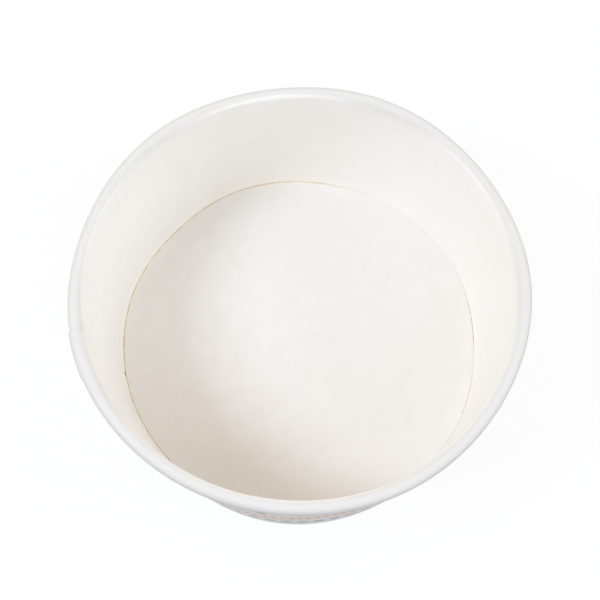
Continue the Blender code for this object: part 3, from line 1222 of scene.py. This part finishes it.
def wrapped_piece(section, name, node, values):
    """Run wrap_board on a section, and make the result the piece that stands for a node."""
    modifier = section.modifiers.new("wrap", "NODES")
    modifier.node_group = wrap
    for item in wrap.interface.items_tree:
        if item.in_out == "INPUT" and item.name in values:
            modifier[item.identifier] = values[item.name]
    section.update_tag()
    evaluated = section.evaluated_get(bpy.context.evaluated_depsgraph_get())
    mesh = bpy.data.meshes.new_from_object(evaluated)
    mesh.name = name
    drop_empty_slots(mesh)
    mesh.shade_smooth()
    mesh.set_sharp_from_angle(angle=SMOOTH_UP_TO)
    piece = bpy.data.objects.new(name, mesh)
    bpy.context.scene.collection.objects.link(piece)
    bpy.data.objects.remove(section, do_unlink=True)
    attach(piece, "root")
    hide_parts(node)
    triangles = sum(len(face.vertices) - 2 for face in mesh.polygons)
    print(name, "has", triangles, "triangles and materials", [m.name for m in mesh.materials])


# %% The side wall
WALL_STATIONS = 372
wrapped_piece(
    side_wall,
    "wrapped_side_wall",
    "side_wall",
    {
        "Stations": WALL_STATIONS,
        "Lap Angle": LAP_ANGLE,
        "Ramp Angle": RAMP_ANGLE,
        "Seam Angle": SEAM_ANGLE,
        "Board": WALL_BOARD,
        "Raw Ends": True,
        "Ribs": rib_count,
        "Rib": rib,
        "Food Side": wall_food,
        "Print Side": wall_print,
        "Cut Edge": cut_edge,
    },
)

# %% The bottom disc
DISC_STATIONS = 361
wrapped_piece(
    bottom_disc,
    "pressed_bottom_disc",
    "bottom_disc",
    {
        "Stations": DISC_STATIONS,
        "Lap Angle": 0.0,
        "Ramp Angle": RAMP_ANGLE,
        "Seam Angle": SEAM_ANGLE,
        "Board": 0.0,
        "Raw Ends": False,
        "Ribs": 0,
        "Food Side": disc_food,
        "Print Side": disc_under,
        "Cut Edge": cut_edge,
    },
)
bpy.data.objects.remove(rib, do_unlink=True)

# %% [markdown]
# ## Floor
#
# The cup stands on a plain pale floor. To the camera, and in reflections, the
# floor is mostly a glowing white, and the rest is a matt surface that takes the
# light, so the cup keeps a faint shadow under it.

# %% A white floor that keeps the shadow
FLOOR_SIZE = 6.0
FLOOR_GLOW = 0.9
FLOOR_WHITE = "FAFAFA"
TABLE_GREY = "8A8A8A"  # what the cup itself sees of the table


def add_seen_directly(tree):
    """1 for rays that show the background: straight to the camera, or by gloss or glass."""
    path = add_node(tree, "ShaderNodeLightPath")
    glossy = add_node(
        tree,
        "ShaderNodeMath",
        {"operation": "MAXIMUM"},
        {0: path.outputs["Is Camera Ray"], 1: path.outputs["Is Glossy Ray"]},
    )
    either = add_node(
        tree,
        "ShaderNodeMath",
        {"operation": "MAXIMUM"},
        {0: glossy.outputs[0], 1: path.outputs["Is Transmission Ray"]},
    )
    return either.outputs[0]


def make_floor():
    """A large square with its surface at the table's height."""
    bpy.ops.mesh.primitive_plane_add(size=FLOOR_SIZE, location=(0, 0, 0))
    floor = bpy.context.object
    floor.name = "floor"
    material = bpy.data.materials.new("white_floor")
    material.use_nodes = True
    tree = material.node_tree
    tree.nodes.clear()
    seen = add_seen_directly(tree)
    paint = add_node(
        tree,
        "ShaderNodeMix",
        {"data_type": "RGBA"},
        {0: seen, 6: colour(TABLE_GREY), 7: colour(FLOOR_WHITE)},
    )
    matt = add_node(tree, "ShaderNodeBsdfDiffuse", {}, {"Color": paint.outputs[2]})
    white = add_node(tree, "ShaderNodeEmission", {}, {"Color": (1, 1, 1, 1), "Strength": 1.0})
    share = add_node(tree, "ShaderNodeMath", {"operation": "MULTIPLY"}, {0: seen, 1: FLOOR_GLOW})
    mixed = add_node(
        tree, "ShaderNodeMixShader", {}, {0: share.outputs[0], 1: matt.outputs[0], 2: white.outputs[0]}
    )
    add_node(tree, "ShaderNodeOutputMaterial", {}, {"Surface": mixed.outputs[0]})
    floor.data.materials.append(material)


make_floor()
print("floor is", FLOOR_SIZE, "m square")

# %% [markdown]
# ## Light
#
# A product like this is lit by soft lamps in a bright room. The key lamp stands at
# the left, so the wall's left side lays a soft shade across the floor, and the right
# side is the brightest. A low lamp at the right fills the left wall, and a weak one
# in front fills the back. The room is darker on the side where the picture is taken
# from, as it is behind a camera.

# %% Soft daylight from all round
WORLD_STRENGTH = 0.78
CAMERA_SIDE_STRENGTH = 0.42
DARK_SIDE_ELEVATION = math.radians(10)
DARK_SIDE = (0, -math.cos(DARK_SIDE_ELEVATION), math.sin(DARK_SIDE_ELEVATION))
DARK_SIDE_EDGE = 0.1  # cosine of the angle from the middle of the dark side
DARK_SIDE_CORE = 0.8  # a cosine too
ROOM_TINT = "FFF7F0"

world = bpy.data.worlds.new("bright_room")
bpy.context.scene.world = world
world.use_nodes = True
sky_tree = world.node_tree
sky_tree.nodes.clear()
toward = add_node(sky_tree, "ShaderNodeTexCoord")
facing = add_node(
    sky_tree,
    "ShaderNodeVectorMath",
    {"operation": "DOT_PRODUCT"},
    {0: toward.outputs["Generated"], 1: DARK_SIDE},
)
strength = add_node(
    sky_tree,
    "ShaderNodeMapRange",
    {"interpolation_type": "SMOOTHSTEP"},
    {
        "Value": facing.outputs["Value"],
        "From Min": DARK_SIDE_EDGE,
        "From Max": DARK_SIDE_CORE,
        "To Min": WORLD_STRENGTH,
        "To Max": CAMERA_SIDE_STRENGTH,
    },
)
room_light = add_node(
    sky_tree,
    "ShaderNodeBackground",
    {},
    {"Color": colour(ROOM_TINT), "Strength": strength.outputs["Result"]},
)
room_seen = add_node(sky_tree, "ShaderNodeBackground", {}, {"Color": (1, 1, 1, 1), "Strength": 1.0})
room = add_node(
    sky_tree,
    "ShaderNodeMixShader",
    {},
    {0: add_seen_directly(sky_tree), 1: room_light.outputs[0], 2: room_seen.outputs[0]},
)
add_node(sky_tree, "ShaderNodeOutputWorld", {}, {"Surface": room.outputs[0]})
print("room light:", WORLD_STRENGTH)

# %% The soft lamps
LAMP_TINT = "DDEBFF"
LAMP_DISTANCE = 1.2

# Each lamp: name, azimuth and elevation in degrees, width in metres, power in watts
LAMPS = [
    ("key_lamp", -71, 52, 0.4, 7.2),
    ("side_lamp", 80, 25, 0.6, 4.7),
    ("front_lamp", 20, 45, 0.6, 2.0),
]


def soft_lamp(name, azimuth, elevation, width, power):
    """A square area lamp that looks at the cup. Azimuth 0 is the camera's side, 90 the right."""
    a, e = math.radians(azimuth), math.radians(elevation)
    away = Vector((math.sin(a) * math.cos(e), -math.cos(a) * math.cos(e), math.sin(e)))
    lamp = bpy.data.lights.new(name, "AREA")
    lamp.shape = "SQUARE"
    lamp.size = width
    lamp.energy = power
    lamp.color = colour(LAMP_TINT)[:3]
    lamp_object = bpy.data.objects.new(name, lamp)
    lamp_object.location = LAMP_DISTANCE * away + Vector((0, 0, FLOOR_HEIGHT))
    lamp_object.rotation_euler = away.to_track_quat("Z", "Y").to_euler()
    bpy.context.scene.collection.objects.link(lamp_object)
    return lamp_object


lamps = [soft_lamp(*values) for values in LAMPS]
print("key lamp at", [round(c, 2) for c in lamps[0].location])

# %% [markdown]
# ## Camera
#
# The photograph looks down into the cup from close by. Its viewpoint was worked
# out from three circles: the rim, the floor's edge and the base. Their ellipses fix
# how steeply the view looks down, and more loosely the lens and the distance.

# %% The camera at the photograph's viewpoint
SENSOR = 36.0  # width in mm
PICTURE_PIXELS = 600
FOCAL_PIXELS = 1150
CAMERA_ELEVATION = math.radians(68.8)
RIM_CENTRE_PIXEL = (299.5, 286.6)  # of the circle through the roll's middle
RIM_CENTRE_DEPTH = 224.5 * MM
NEAREST_SEEN = 10 * MM

camera_data = bpy.data.cameras.new("camera")
camera_data.sensor_width = SENSOR
camera_data.lens = SENSOR * FOCAL_PIXELS / PICTURE_PIXELS
camera_data.clip_start = NEAREST_SEEN
camera = bpy.data.objects.new("camera", camera_data)
bpy.context.scene.collection.objects.link(camera)
bpy.context.scene.camera = camera

right = Vector((1, 0, 0))
up = Vector((0, math.sin(CAMERA_ELEVATION), math.cos(CAMERA_ELEVATION)))
back = right.cross(up)
seen_right = (RIM_CENTRE_PIXEL[0] - PICTURE_PIXELS / 2) / FOCAL_PIXELS * RIM_CENTRE_DEPTH
seen_up = (PICTURE_PIXELS / 2 - RIM_CENTRE_PIXEL[1]) / FOCAL_PIXELS * RIM_CENTRE_DEPTH
rim_centre = Vector((0, 0, roll_centre.y))
camera.matrix_world = Matrix.Translation(
    rim_centre - seen_right * right - seen_up * up + RIM_CENTRE_DEPTH * back
) @ Matrix((right, up, back)).transposed().to_4x4()
bpy.context.scene.view_settings.view_transform = "Standard"
print("camera at", [round(c / MM, 1) for c in camera.matrix_world.translation], "mm")
